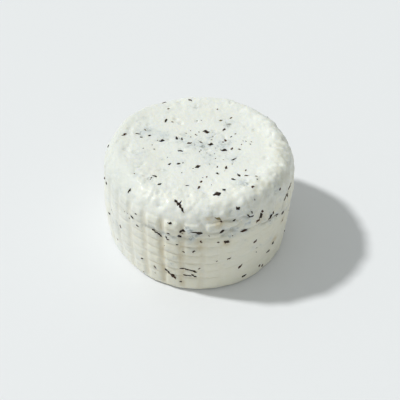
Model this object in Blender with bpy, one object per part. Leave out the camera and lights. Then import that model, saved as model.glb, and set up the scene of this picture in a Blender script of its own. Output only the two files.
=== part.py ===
"""Truffle caciotta: a small fresh cheese, pressed in a basket mould and flecked with black truffle.

The cheese is one solid. Its wall flares a little towards the top and carries the mould's upright ribs,
each notched into windows by the mould's hoops. The highest windows stand out as square bosses, a shallow
seam wanders round under them, and above them a lumpy shoulder rounds over to a softly dished top. Chips
of truffle stand proud of the skin and are fused to it.

Frame: metres, +Z up. The origin is the centre of the flat base. Bearings are in degrees, 0 at the front
(-Y) and rising towards the right (+X).
"""

import math
import random

import bmesh
import bpy
from mathutils import Matrix, Vector, noise
from mathutils.bvhtree import BVHTree

MM = 0.001

# Driving dimensions of the turned form
HEIGHT = 67.0 * MM
BASE_RADIUS = 52.1 * MM
WIDEST_RADIUS = 55.0 * MM
WIDEST_HEIGHT = 45.0 * MM
TOP_RADIUS = 44.5 * MM
SHOULDER_POWER = 2.3
BASE_EDGE = 3.0 * MM
WALL_BELLY = 0.4 * MM
TOP_DISH = 1.5 * MM

# The cheese settled slightly out of round: waves round the wall, each its depth and the bearing of a crest
LOBES = {2: (0.8 * MM, 63.0), 3: (0.7 * MM, 125.0), 4: (0.5 * MM, 72.0)}
LEAN = 0.02

# Where its foot slumped outwards or drew in: bearing, reach in degrees, then depth and height in millimetres
SLUMPS = ((-88.0, 55.0, 1.8, 50.0), (-8.0, 38.0, -1.3, 26.0))

# The basket mould: upright ribs, with narrow grooves between them
RIBS = 29
RIB_DEPTH = 1.0 * MM
RIB_BEARING = 8.4
FACE_EDGE = 0.33
GROOVE_EDGE = 0.43

# Its level hoops, which notch the ribs, and the row of bosses above the highest of them
HOOP_FOOT = 5.5 * MM
HOOP_PITCH = 6.95 * MM
HOOPS = 6
NOTCH_DEPTH = 0.5 * MM
NOTCH_REACH = 1.1 * MM
BOSS_DEPTH = 1.1 * MM
BOSS_LOW = 52.5 * MM
BOSS_HIGH = 58.0 * MM
BOLDEST_BOSS = -3.0

# Where the mould pressed the ribs less: the bearing, the strength there, and how far away it starts and ends
FAINT_SIDES = ((70.0, 0.2, 40.0, 90.0), (-78.0, 0.45, 32.0, 66.0))

# The seam where the curd's layers met and truffle gathered: bearing and height in millimetres of its bends
SEAM = (
    (-145.0, 46.0),
    (-108.0, 43.0),
    (-75.0, 45.0),
    (-46.0, 45.5),
    (-30.0, 47.5),
    (-16.0, 45.0),
    (0.0, 51.0),
    (15.0, 50.5),
    (30.0, 47.5),
    (50.0, 45.0),
    (70.0, 38.0),
    (100.0, 41.0),
    (140.0, 47.0),
    (180.0, 44.0),
)
SEAM_DEPTH = 0.6 * MM
SEAM_WIDTH = 2.4 * MM

# Curd lumps on the shoulder and the slow unevenness of the whole skin
LUMP_DEPTH = 1.5 * MM
LUMP_SCALE = 7.5 * MM
LUMPS_FROM = 56.0 * MM
LUMPIEST_BEARING = 45.0
UNEVENNESS = 0.6 * MM
UNEVEN_SCALE = 20.0 * MM

# Rings of the top, from the shoulder inwards: how many points and how far out, as a share of the top radius
TOP_RINGS = ((116, 0.92), (84, 0.82), (42, 0.68), (42, 0.48), (21, 0.26))

# The boldest truffle chips on the top: x, y, length and width in millimetres, and the turn from +X
TOP_CHIPS = (
    (-19.0, 24.0, 3.3, 1.3, 75.0),
    (-43.0, 11.0, 3.4, 1.3, 30.0),
    (-21.0, 7.0, 3.2, 1.4, 10.0),
    (5.0, 15.0, 3.8, 1.6, -10.0),
    (7.5, 4.0, 3.2, 1.6, 0.0),
    (-10.0, -2.0, 2.6, 1.2, 0.0),
    (15.0, -1.0, 3.0, 1.3, -5.0),
    (0.0, -16.0, 3.3, 1.4, 25.0),
    (23.0, -24.0, 3.6, 1.2, -70.0),
    (-24.0, -25.0, 3.2, 1.2, -15.0),
    (11.0, -41.0, 4.6, 2.0, 30.0),
    (14.5, -37.0, 2.2, 1.4, -50.0),
)

# The boldest on the wall and shoulder: bearing, then height, length and width in millimetres, and the turn
# from level
WALL_CHIPS = (
    (-50.0, 62.0, 3.6, 1.2, 85.0),
    (-44.0, 48.0, 2.6, 1.3, -50.0),
    (-25.0, 46.0, 4.6, 1.4, -35.0),
    (-16.0, 57.0, 3.0, 1.3, 0.0),
    (-12.5, 66.5, 4.4, 1.2, -54.0),
    (-9.6, 64.0, 4.8, 1.2, -54.0),
    (-10.5, 48.0, 2.0, 1.5, 20.0),
    (-8.0, 52.5, 2.8, 1.5, 20.0),
    (0.0, 52.0, 4.6, 1.4, -20.0),
    (12.0, 60.0, 4.1, 1.2, -30.0),
    (14.4, 50.8, 3.6, 1.5, 25.0),
    (17.0, 42.8, 2.6, 1.7, 50.0),
    (24.7, 63.2, 2.2, 1.4, -55.0),
    (28.0, 47.0, 4.8, 1.2, -15.0),
    (38.0, 52.0, 3.6, 1.5, 20.0),
    (47.0, 48.0, 2.6, 1.4, 40.0),
    (50.0, 16.0, 3.4, 1.1, -5.0),
    (53.0, 45.0, 4.2, 1.3, -15.0),
    (-20.0, 15.5, 3.6, 1.3, -35.0),
    (-15.5, 12.0, 3.2, 1.7, -20.0),
    (-6.0, 20.5, 6.6, 1.3, -20.0),
    (-5.0, 14.5, 4.4, 1.2, -10.0),
)

# The other chips are drawn from a seed and keep clear of each other: a few more near the top's middle, and
# the sides and back of the wall, along the seam more than elsewhere
MORE_ON_TOP = 10
MIDDLE = (3.0 * MM, -3.0 * MM)
MIDDLE_SPREAD = 19.0 * MM
MORE_ON_WALL = 36
MORE_BEARINGS = (65.0, 292.0)
SHARE_ON_SEAM = 0.5
SEAM_SPREAD = 2.5 * MM
CHIP_LENGTH = (1.8, 3.3)
CHIP_WIDTH = (1.1, 1.5)
CHIP_CLEARANCE = 4.2 * MM

# Shape of a chip
CHIP_THICKNESS = 1.1 * MM
CHIP_CURL = 0.16
LONG_CHIP = 3.5
CHIP_SIDES = {"long": 6, "short": 5}
CHIP_RINGS = {"long": 4, "short": 3}
SEED = 28
TOP_SEED = 628570

SKIN_COLOUR = (0.86, 0.85, 0.79, 1.0)
SKIN_ROUGHNESS = 0.55


def clear_scene():
    for old in list(bpy.data.objects):
        bpy.data.objects.remove(old)


def smooth(edge_low, edge_high, value):
    """0 below edge_low, 1 above edge_high and an S-curve between."""
    share = min(1.0, max(0.0, (value - edge_low) / (edge_high - edge_low)))
    return share * share * (3.0 - 2.0 * share)


def turned_radius(height):
    """Radius of the plain turned wall and shoulder at a height, before any relief."""
    if height <= BASE_EDGE:
        rise = height / BASE_EDGE
        return BASE_RADIUS - BASE_EDGE * (1.0 - math.sqrt(1.0 - (1.0 - rise) ** 2))
    if height <= WIDEST_HEIGHT:
        share = (height - BASE_EDGE) / (WIDEST_HEIGHT - BASE_EDGE)
        flare = (WIDEST_RADIUS - BASE_RADIUS) * share
        return BASE_RADIUS + flare + WALL_BELLY * math.sin(math.pi * share)
    climb = (height - WIDEST_HEIGHT) / (HEIGHT - WIDEST_HEIGHT)
    across = max(0.0, 1.0 - climb**SHOULDER_POWER) ** (1.0 / SHOULDER_POWER)
    return TOP_RADIUS + (WIDEST_RADIUS - TOP_RADIUS) * across


def bearings_apart(one, other):
    return abs((one - other + 180.0) % 360.0 - 180.0)


def rib_strength(bearing):
    """The mould pressed the front and the back well, the left less, and the right only faintly."""
    strength = 1.0
    for middle, least, start, end in FAINT_SIDES:
        strength *= least + (1.0 - least) * smooth(start, end, bearings_apart(bearing, middle))
    return strength


def rib_face(bearing):
    """1 on a rib's raised face, 0 in the groove between two ribs."""
    turns = (bearing - RIB_BEARING) * RIBS / 360.0
    from_crest = abs(turns - round(turns))
    return 1.0 - smooth(FACE_EDGE, GROOVE_EDGE, from_crest)


def boss_size(bearing):
    """How far the boss of the rib at this bearing stands out: well at the front, elsewhere little."""
    number = round((bearing - RIB_BEARING) * RIBS / 360.0) % RIBS
    drawn = random.Random(SEED + number).random()
    bold = 1.0 - smooth(16.0, 32.0, bearings_apart(RIB_BEARING + 360.0 * number / RIBS, BOLDEST_BOSS))
    return 0.2 + 0.35 * drawn + bold * (0.8 - 0.35 * drawn)


def seam_height(bearing):
    """Height of the seam at a bearing, eased from bend to bend."""
    bearing = (bearing + 180.0) % 360.0 - 180.0
    last_bearing, last_height = SEAM[-1]
    bends = ((last_bearing - 360.0, last_height),) + SEAM
    for (start, low), (end, high) in zip(bends, bends[1:]):
        if start <= bearing <= end:
            return (low + (high - low) * smooth(start, end, bearing)) * MM
    return last_height * MM


def wall_relief(bearing, height):
    """How far the mould's pattern and the seam stand out of the turned wall."""
    face = rib_face(bearing)
    strength = rib_strength(bearing)
    foot = smooth(0.5 * MM, HOOP_FOOT, height)
    head = 1.0 - smooth(BOSS_HIGH - 5.0 * MM, BOSS_HIGH + 4.0 * MM, height)
    relief = RIB_DEPTH * strength * foot * head * (face - 0.5)
    hoop = min(HOOPS, max(1, round((height - HOOP_FOOT) / HOOP_PITCH)))
    from_hoop = abs(height - HOOP_FOOT - hoop * HOOP_PITCH)
    relief -= NOTCH_DEPTH * strength * face * (1.0 - smooth(0.0, NOTCH_REACH, from_hoop))
    boss = smooth(BOSS_LOW, BOSS_LOW + 1.5 * MM, height)
    boss *= 1.0 - smooth(BOSS_HIGH - 2.0 * MM, BOSS_HIGH, height)
    relief += BOSS_DEPTH * boss_size(bearing) * face * boss
    from_seam = (height - seam_height(bearing)) / SEAM_WIDTH
    return relief - SEAM_DEPTH * math.exp(-from_seam * from_seam)


def out_of_round(bearing, place):
    """The low waves and the soft unevenness of a cheese that settled by itself."""
    waves = 0.0
    for count, (depth, crest) in LOBES.items():
        waves += depth * math.cos(count * math.radians(bearing - crest))
    for middle, reach, depth, height in SLUMPS:
        level = 1.0 - smooth(0.45 * height * MM, height * MM, place.z)
        waves += depth * MM * level * (1.0 - smooth(0.0, reach, bearings_apart(bearing, middle)))
    return waves + UNEVENNESS * noise.noise(place / UNEVEN_SCALE)


def lumps(bearing, place):
    """Curd grains that show as lumps on the shoulder, fewer of them on the side away from the lumpiest."""
    strength = 1.0 - 0.6 * smooth(70.0, 130.0, bearings_apart(bearing, LUMPIEST_BEARING))
    return LUMP_DEPTH * strength * noise.noise(place / LUMP_SCALE)


def wall_point(bearing, height):
    """A point of the finished wall or shoulder, with the mould's relief on it."""
    turn = math.radians(bearing)
    outward = Vector((math.sin(turn), -math.cos(turn), 0.0))
    radius = turned_radius(height)
    place = outward * radius + Vector((0.0, 0.0, height))
    radius += out_of_round(bearing, place) + wall_relief(bearing, height)
    grain = lumps(bearing, place) * smooth(LUMPS_FROM, HEIGHT - 4.0 * MM, height)
    over = smooth(HEIGHT - 5.0 * MM, HEIGHT, height)
    point = outward * (radius + grain * (1.0 - over))
    return point + Vector((LEAN * height, 0.0, height + grain * over))


def top_point(bearing, share):
    """A point of the dished top, share of the way out from its centre to the shoulder."""
    rim = wall_point(bearing, HEIGHT)
    centre = Vector((LEAN * HEIGHT, 0.0, HEIGHT - TOP_DISH))
    point = centre.lerp(rim, share)
    point.z = centre.z + TOP_DISH * share**3
    edge = lumps(bearing, point) * smooth(0.65, 0.95, share)
    point.z += edge + UNEVENNESS * noise.noise(point / UNEVEN_SCALE + Vector((3.0, 7.0, 1.0)))
    return point


def ring(mesh, bearings, place):
    """A closed loop of points, place(bearing) for each, and the edges between them."""
    verts = [mesh.verts.new(place(bearing)) for bearing in bearings]
    return [mesh.edges.new((verts[i - 1], verts[i])) for i in range(len(verts))]


def wall_bearings():
    """Four points to a rib, two at each edge of its face, so that the groove has a floor and two sides."""
    shares = (FACE_EDGE, GROOVE_EDGE, 1.0 - GROOVE_EDGE, 1.0 - FACE_EDGE)
    return [RIB_BEARING + 360.0 * (rib + share) / RIBS for rib in range(RIBS) for share in shares]


def top_bearings(count):
    return [RIB_BEARING + 360.0 * i / count for i in range(count)]


def wall_heights():
    """Heights of the wall's rings: three to a hoop, closer at the base edge and round the shoulder."""
    heights = [0.0, 0.3 * BASE_EDGE, BASE_EDGE, HOOP_FOOT]
    for hoop in range(1, HOOPS + 1):
        middle = HOOP_FOOT + hoop * HOOP_PITCH
        heights += [middle - NOTCH_REACH, middle, middle + NOTCH_REACH]
    last = HOOP_FOOT + (HOOPS - 0.5) * HOOP_PITCH
    heights += [last, last + HOOP_PITCH]
    heights += [BOSS_LOW, BOSS_LOW + 1.5 * MM, BOSS_HIGH - 2.0 * MM, BOSS_HIGH]
    heights += [60.5 * MM, 63.0 * MM, 65.0 * MM, 66.3 * MM, HEIGHT]
    return sorted(heights)


def build_body():
    """The whole cheese without its truffle, as one closed mesh."""
    mesh = bmesh.new()
    loops = []
    for height in wall_heights():
        loops.append(ring(mesh, wall_bearings(), lambda bearing, z=height: wall_point(bearing, z)))
    for count, share in TOP_RINGS:
        loops.append(ring(mesh, top_bearings(count), lambda bearing, s=share: top_point(bearing, s)))
    for lower, upper in zip(loops, loops[1:]):
        bmesh.ops.bridge_loops(mesh, edges=lower + upper)
    bmesh.ops.contextual_create(mesh, geom=loops[0])
    crown = bmesh.ops.contextual_create(mesh, geom=loops[-1])["faces"]
    middle = bmesh.ops.poke(mesh, faces=crown)["verts"][0]
    middle.co = top_point(0.0, 0.0)
    bmesh.ops.recalc_face_normals(mesh, faces=mesh.faces[:])
    return mesh


def chip(length, width, rng):
    """One truffle chip lying along X: a stretched and curled ball with few and uneven sides."""
    kind = "long" if length > LONG_CHIP else "short"
    mesh = bmesh.new()
    bmesh.ops.create_uvsphere(mesh, u_segments=CHIP_SIDES[kind], v_segments=CHIP_RINGS[kind], radius=0.5)
    bmesh.ops.rotate(mesh, verts=mesh.verts, matrix=Matrix.Rotation(math.pi / 2.0, 3, "Y"))
    curl = rng.uniform(-CHIP_CURL, CHIP_CURL)
    for vert in mesh.verts:
        x, y, z = vert.co
        y += curl * (4.0 * x * x - 0.5)
        vert.co = Vector((x * length, y * width * rng.uniform(0.85, 1.15), z * CHIP_THICKNESS))
    return mesh


def place_chip(skin, place, inward, level, size, rng):
    """Sets a chip half into the skin where a line going inward meets it, turned from level."""
    length, width, turn = size
    where, normal, _, _ = skin.ray_cast(place - inward * HEIGHT, inward)
    level = (level - normal * level.dot(normal)).normalized()
    upright = Matrix((level, normal.cross(level), normal)).transposed()
    spin = Matrix.Rotation(math.radians(turn), 3, "Z")
    mesh = chip(length * MM, width * MM, rng)
    mesh.transform(Matrix.Translation(where) @ (upright @ spin).to_4x4())
    data = bpy.data.meshes.new("truffle")
    mesh.to_mesh(data)
    mesh.free()
    return bpy.data.objects.new("truffle", data)


def chip_on_top(skin, x, y, size, rng):
    down = Vector((0.0, 0.0, -1.0))
    return place_chip(skin, Vector((x, y, HEIGHT)), down, Vector((1.0, 0.0, 0.0)), size, rng)


def chip_on_wall(skin, bearing, height, size, rng):
    """A chip on the wall is set in level; on the shoulder it is set in from above, across its slope."""
    turn = math.radians(bearing)
    outward = Vector((math.sin(turn), -math.cos(turn), 0.0))
    level = Vector((math.cos(turn), math.sin(turn), 0.0))
    place = outward * turned_radius(height) + Vector((0.0, 0.0, height))
    heart = Vector((0.0, 0.0, min(height, WIDEST_HEIGHT)))
    return place_chip(skin, place, (heart - place).normalized(), level, size, rng)


def chip_size(rng, spread):
    return rng.uniform(*CHIP_LENGTH), rng.uniform(*CHIP_WIDTH), rng.gauss(0.0, spread)


def clear_of(here, taken):
    return all((here - other).length > CHIP_CLEARANCE for other in taken)


def more_on_top(rng):
    """Positions and sizes of the smaller chips on the top."""
    taken = [Vector((x * MM, y * MM)) for x, y, _, _, _ in TOP_CHIPS]
    spots = []
    while len(spots) < MORE_ON_TOP:
        here = Vector((rng.gauss(MIDDLE[0], MIDDLE_SPREAD), rng.gauss(MIDDLE[1], MIDDLE_SPREAD)))
        if here.length < TOP_RADIUS - 3.0 * MM and clear_of(here, taken):
            taken.append(here)
            spots.append((here.x, here.y, chip_size(rng, 60.0)))
    return spots


def more_on_wall(rng):
    """Bearings, heights and sizes of the smaller chips round the sides and back of the wall."""
    taken = [Vector((math.radians(b) * WIDEST_RADIUS, h * MM)) for b, h, _, _, _ in WALL_CHIPS]
    spots = []
    while len(spots) < MORE_ON_WALL:
        bearing = rng.uniform(*MORE_BEARINGS)
        height = rng.uniform(6.0 * MM, 63.0 * MM)
        if rng.random() < SHARE_ON_SEAM:
            height = seam_height(bearing) + rng.gauss(0.0, SEAM_SPREAD)
        here = Vector((math.radians(bearing) * WIDEST_RADIUS, height))
        if clear_of(here, taken):
            taken.append(here)
            spots.append((bearing, height, chip_size(rng, 35.0)))
    return spots


def truffle_chips(skin):
    """Every chip, as objects in a collection of their own."""
    rng = random.Random(SEED)
    chips = bpy.data.collections.new("truffle")
    bpy.context.scene.collection.children.link(chips)
    top = [(x * MM, y * MM, (length, width, turn)) for x, y, length, width, turn in TOP_CHIPS]
    for x, y, size in top + more_on_top(random.Random(TOP_SEED)):
        chips.objects.link(chip_on_top(skin, x, y, size, rng))
    wall = [(bearing, up * MM, (length, width, turn)) for bearing, up, length, width, turn in WALL_CHIPS]
    for bearing, height, size in wall + more_on_wall(random.Random(SEED + 2)):
        chips.objects.link(chip_on_wall(skin, bearing, height, size, rng))
    return chips


def fuse(cheese, chips):
    """Joins every chip to the cheese in one Boolean, then drops the loose chips."""
    union = cheese.modifiers.new("truffle", "BOOLEAN")
    union.operation = "UNION"
    union.operand_type = "COLLECTION"
    union.collection = chips
    union.solver = "EXACT"
    bpy.context.view_layer.objects.active = cheese
    bpy.ops.object.modifier_apply(modifier=union.name)
    for loose in list(chips.objects):
        bpy.data.objects.remove(loose)
    bpy.data.collections.remove(chips)


def skin_material():
    """The cheese's moist, off-white skin."""
    material = bpy.data.materials.new("skin")
    material.use_nodes = True
    shader = material.node_tree.nodes["Principled BSDF"]
    shader.inputs["Base Color"].default_value = SKIN_COLOUR
    shader.inputs["Roughness"].default_value = SKIN_ROUGHNESS
    shader.inputs["Metallic"].default_value = 0.0
    return material


def main():
    clear_scene()
    body = build_body()
    skin = BVHTree.FromBMesh(body)
    data = bpy.data.meshes.new("cheese")
    body.to_mesh(data)
    body.free()
    data.materials.append(skin_material())
    cheese = bpy.data.objects.new("cheese", data)
    bpy.context.scene.collection.objects.link(cheese)
    fuse(cheese, truffle_chips(skin))


main()
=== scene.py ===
import math
import random

import bpy
from bpy.props import FloatProperty, FloatVectorProperty, IntProperty, PointerProperty
from bpy.types import Operator, Panel, PropertyGroup
from mathutils import Matrix, Vector, noise
from mathutils.bvhtree import BVHTree


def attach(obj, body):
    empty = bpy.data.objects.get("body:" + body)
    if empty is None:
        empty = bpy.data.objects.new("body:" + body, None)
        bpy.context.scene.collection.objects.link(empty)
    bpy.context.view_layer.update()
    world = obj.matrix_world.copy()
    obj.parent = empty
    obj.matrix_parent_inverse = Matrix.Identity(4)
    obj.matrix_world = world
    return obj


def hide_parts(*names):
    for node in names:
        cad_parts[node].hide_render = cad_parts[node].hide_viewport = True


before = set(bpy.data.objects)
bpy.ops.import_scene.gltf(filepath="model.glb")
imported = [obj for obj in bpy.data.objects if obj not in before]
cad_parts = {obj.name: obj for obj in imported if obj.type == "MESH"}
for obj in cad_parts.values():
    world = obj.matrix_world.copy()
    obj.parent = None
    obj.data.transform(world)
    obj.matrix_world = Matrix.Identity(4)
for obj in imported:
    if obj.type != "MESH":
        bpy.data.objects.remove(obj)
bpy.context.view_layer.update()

bl_info = {
    "name": "Truffle Caciotta",
    "version": (1, 0, 0),
    "blender": (4, 5, 0),
    "location": "3D View > Sidebar > Caciotta",
    "description": "A small basket-moulded fresh cheese flecked with black truffle",
    "category": "Object",
}

MM = 0.001

# The seam where the curd's layers met and truffle gathered: bearing and height in millimetres of its bends
SEAM = (
    (-145.0, 46.0),
    (-108.0, 43.0),
    (-75.0, 45.0),
    (-46.0, 45.5),
    (-30.0, 47.5),
    (-16.0, 45.0),
    (0.0, 51.0),
    (15.0, 50.5),
    (30.0, 47.5),
    (50.0, 45.0),
    (70.0, 38.0),
    (100.0, 41.0),
    (140.0, 47.0),
    (180.0, 44.0),
)

# The cheese settled slightly out of round: waves round the wall, each its depth and the bearing of a crest
LOBES = {2: (0.8 * MM, 63.0), 3: (0.7 * MM, 125.0), 4: (0.5 * MM, 72.0)}

# Folds where the layers slid over each other: width in millimetres, then the bearing and height of each bend
FOLDS = (
    (1.0, ((59.0, 46.0), (61.0, 49.3), (65.3, 51.2), (68.1, 54.0), (72.4, 54.2), (77.5, 53.3), (92.0, 51.0))),
    (0.7, ((16.0, 57.8), (20.0, 57.0), (24.0, 56.8), (27.5, 57.2), (30.8, 56.0))),
    (0.9, ((14.5, 47.5), (19.0, 50.0), (22.5, 52.8), (26.0, 54.6))),
)

# Where its foot slumped outwards or drew in: bearing, reach in degrees, then depth and height in millimetres
SLUMPS = ((-88.0, 55.0, 1.8, 50.0), (-8.0, 38.0, -1.3, 26.0))

# Where the mould pressed the ribs less: the bearing, the strength there, and how far away it starts and ends
FAINT_SIDES = ((70.0, 0.2, 40.0, 90.0), (-78.0, 0.45, 32.0, 66.0))

# The boldest truffle chips on the top: x, y, length and width in millimetres, and the turn from +X
TOP_CHIPS = (
    (-19.0, 24.6, 3.6, 1.5, 75.0),
    (-43.0, 11.0, 3.4, 1.3, 30.0),
    (-21.0, 7.0, 3.7, 1.7, 10.0),
    (5.0, 15.0, 4.4, 2.0, -10.0),
    (7.5, 4.0, 3.4, 1.9, 0.0),
    (-10.0, -2.0, 3.2, 1.6, 0.0),
    (15.0, -1.0, 4.2, 1.7, -5.0),
    (0.0, -16.0, 3.7, 1.7, 25.0),
    (23.0, -24.0, 3.6, 1.2, -70.0),
    (-24.0, -25.0, 2.9, 1.1, -10.0),
    (10.8, -40.6, 5.8, 2.9, 28.0),
    (14.5, -37.0, 2.2, 1.4, -50.0),
)

# The boldest on the wall and shoulder: bearing, then height, length and width in millimetres, turn from level
WALL_CHIPS = (
    (-50.0, 62.6, 3.4, 1.1, 85.0),
    (-44.0, 48.0, 2.6, 1.3, -50.0),
    (-16.0, 57.0, 2.8, 1.2, -5.0),
    (-10.5, 48.0, 2.3, 1.9, 20.0),
    (-8.4, 52.5, 3.4, 2.0, 20.0),
    (0.0, 51.8, 5.6, 2.0, -20.0),
    (12.0, 60.0, 4.1, 1.2, -30.0),
    (14.4, 50.8, 4.2, 1.9, 25.0),
    (17.0, 42.8, 3.0, 2.4, 50.0),
    (24.7, 63.2, 2.6, 1.8, -55.0),
    (28.0, 47.0, 5.0, 1.4, -8.0),
    (39.5, 52.9, 3.1, 2.5, 10.0),
    (46.8, 48.0, 3.8, 2.0, 40.0),
    (50.0, 16.0, 3.4, 1.1, -5.0),
    (53.0, 45.2, 4.4, 1.8, -8.0),
)

# Rules for the other chips, the same as the solid's own, in millimetres and degrees
MORE_ON_TOP = 10
MIDDLE = (3.0, -3.0)
MIDDLE_SPREAD = 19.0
RIM_MARGIN = 3.0
TURN_ON_TOP = 60.0
MORE_ON_WALL = 36
MORE_BEARINGS = (65.0, 292.0)
MORE_HEIGHTS = (6.0, 63.0)
SHARE_ON_SEAM = 0.5
SEAM_SPREAD = 2.5
TURN_ON_WALL = 35.0
CHIP_LENGTH = (1.8, 3.3)
CHIP_WIDTH = (1.1, 1.5)
CHIP_CLEARANCE = 4.2
SEED = 28
TOP_SEED = 628570

# Finer bits of truffle on the top, and on the wall and shoulder, in the same way
TOP_BITS = (
    (-20.4, 41.5, 2.9, 1.1, 0.0),
    (-17.7, 35.1, 1.7, 1.1, 5.0),
    (-4.6, 43.2, 3.0, 1.5, -45.0),
    (-15.0, 23.7, 1.8, 0.8, 0.0),
    (11.9, 35.3, 1.3, 1.1, 60.0),
    (20.0, 28.0, 2.3, 1.2, 50.0),
    (13.9, 25.5, 2.6, 1.6, 20.0),
    (18.4, 22.1, 4.0, 0.6, 0.0),
    (-30.9, 16.2, 2.4, 0.9, -45.0),
    (-35.0, 12.4, 3.4, 1.0, 0.0),
    (-33.0, 9.4, 1.9, 1.0, 15.0),
    (-9.2, 8.6, 3.0, 1.0, 85.0),
    (1.9, 5.5, 2.6, 1.0, -30.0),
    (14.9, 6.0, 1.6, 1.0, 20.0),
    (22.2, 13.2, 1.4, 0.8, 0.0),
    (19.7, 10.6, 1.7, 0.9, 40.0),
    (24.2, -0.9, 2.2, 1.1, -15.0),
    (20.7, -9.7, 4.0, 1.0, 20.0),
    (-15.9, -13.5, 2.6, 1.3, 25.0),
    (-10.7, -13.3, 2.5, 2.0, 20.0),
    (11.2, -15.9, 1.8, 0.9, 60.0),
    (11.3, -21.8, 2.5, 1.6, -20.0),
    (5.2, -24.5, 1.7, 0.9, 70.0),
    (27.2, -19.4, 2.1, 1.1, 75.0),
    (27.5, -24.8, 3.1, 1.3, 5.0),
    (32.8, -25.6, 1.9, 0.9, -30.0),
    (-25.8, -26.8, 1.6, 0.9, 80.0),
    (-20.9, -32.1, 3.1, 1.7, 40.0),
    (-5.5, -32.7, 2.6, 0.8, 0.0),
    (30.5, -35.0, 2.2, 1.8, 0.0),
)
WALL_BITS = (
    (-66.0, 13.0, 4.0, 1.0, -75.0),
    (-57.0, 31.0, 3.0, 1.2, -70.0),
    (-40.0, 53.0, 2.0, 1.1, -5.0),
    (-39.0, 44.0, 2.6, 1.1, -10.0),
    (-17.0, 49.0, 2.6, 1.0, -5.0),
    (-17.5, 44.0, 2.0, 1.1, 0.0),
    (-12.0, 41.5, 1.7, 1.1, 10.0),
    (2.0, 45.0, 2.5, 1.3, -40.0),
    (12.0, 44.0, 1.8, 1.2, 0.0),
    (14.0, 58.0, 2.2, 1.0, -25.0),
    (22.0, 57.0, 2.8, 1.0, 15.0),
    (46.6, 5.4, 2.4, 1.7, 50.0),
    (37.2, 51.0, 2.8, 2.1, 45.0),
    (41.0, 55.2, 2.3, 1.7, 80.0),
    (49.2, 49.6, 2.2, 1.3, 60.0),
    (61.5, 39.8, 4.2, 1.7, -10.0),
    (61.5, 33.8, 2.2, 0.9, 30.0),
    (58.0, 60.0, 2.1, 1.5, 25.0),
    (66.0, 50.0, 2.6, 1.1, 60.0),
    (36.6, 34.3, 3.2, 2.1, 50.0),
    (54.0, 20.5, 3.0, 2.1, 60.0),
    (43.5, 7.8, 2.5, 1.7, 50.0),
    (31.0, 6.6, 3.6, 2.1, 25.0),
    (27.2, 17.4, 4.2, 2.0, 50.0),
    (19.0, 28.0, 2.9, 1.1, 30.0),
    (-2.0, 38.0, 1.9, 1.0, 0.0),
    (-8.0, 36.0, 2.1, 1.1, 0.0),
    (-38.0, 17.0, 2.3, 1.2, 35.0),
    (-28.0, 15.0, 3.0, 1.2, -60.0),
    (1.0, 22.0, 1.7, 1.2, 0.0),
    (-11.0, 7.0, 2.5, 1.2, 10.0),
    (-9.6, 51.6, 2.6, 1.7, 10.0),
    (-10.9, 47.7, 1.9, 1.9, 80.0),
    (0.8, 51.4, 3.0, 2.0, -15.0),
    (-3.0, 52.5, 3.0, 0.9, -12.0),
)

# Chips and bits of their own colour, by their place in the tables above: 0 is black, 1 the palest olive
PALE_BITS = {
    (-43.0, 11.0): 0.5,
    (-20.4, 41.5): 0.7,
    (-17.7, 35.1): 0.9,
    (-30.9, 16.2): 0.92,
    (-15.0, 23.7): 0.85,
    (11.9, 35.3): 0.9,
    (20.0, 28.0): 0.88,
    (13.9, 25.5): 1.0,
    (18.4, 22.1): 0.9,
    (14.9, 6.0): 0.85,
    (22.2, 13.2): 0.85,
    (24.2, -0.9): 0.8,
    (-10.7, -13.3): 0.35,
    (11.2, -15.9): 0.84,
    (11.3, -21.8): 0.1,
    (5.2, -24.5): 0.8,
    (32.8, -25.6): 0.9,
    (-20.9, -32.1): 0.2,
    (30.5, -35.0): 0.65,
    (2.0, 45.0): 0.85,
    (12.0, 60.0): 0.97,
    (14.0, 58.0): 0.6,
    (41.0, 55.2): 0.6,
    (17.0, 42.8): 0.35,
    (28.0, 47.0): 0.5,
    (61.5, 33.8): 0.85,
    (19.0, 28.0): 0.8,
}

# Long shreds: the width in millimetres, the tint, and the bearing and height of each bend
SHREDS = (
    (1.5, 0.05, ((-15.2, 66.9), (-13.4, 66.5), (-11.7, 66.0), (-10.1, 65.2), (-8.6, 63.8))),
    (0.9, 0.1, ((-12.9, 65.8), (-11.8, 66.4), (-10.9, 66.9))),
    (1.5, 0.1, ((-20.8, 16.5), (-19.1, 15.5), (-17.8, 13.7))),
    (2.1, 0.45, ((-17.8, 13.7), (-16.9, 11.8), (-15.1, 12.0), (-14.5, 9.8))),
    (0.9, 0.1, ((-10.6, 19.9), (-7.6, 21.4), (-5.2, 20.8))),
    (1.3, 0.0, ((-5.4, 21.0), (-2.8, 19.2), (-0.8, 18.4))),
    (0.8, 0.2, ((-8.8, 14.2), (-5.6, 14.8), (-3.8, 14.6))),
    (1.0, 0.2, ((-3.6, 16.0), (-2.2, 14.6), (-0.9, 13.6))),
    (0.9, 0.0, ((-28.0, 47.3), (-26.4, 46.8))),
    (0.6, 0.3, ((-26.2, 46.4), (-24.4, 46.2))),
    (0.9, 0.0, ((-24.2, 45.8), (-22.8, 44.7), (-21.7, 44.0))),
    (0.8, 0.2, ((-18.9, 45.8), (-18.2, 44.7))),
    (1.0, 0.1, ((30.6, 57.8), (31.0, 56.5), (32.2, 55.8), (33.9, 56.0))),
    (0.7, 0.1, ((33.2, 58.6), (33.6, 57.4))),
    (0.8, 0.2, ((62.0, 49.3), (63.7, 50.0), (65.2, 51.2))),
    (0.5, 0.7, ((67.4, 53.3), (70.0, 54.1), (72.4, 54.3))),
)

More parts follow.
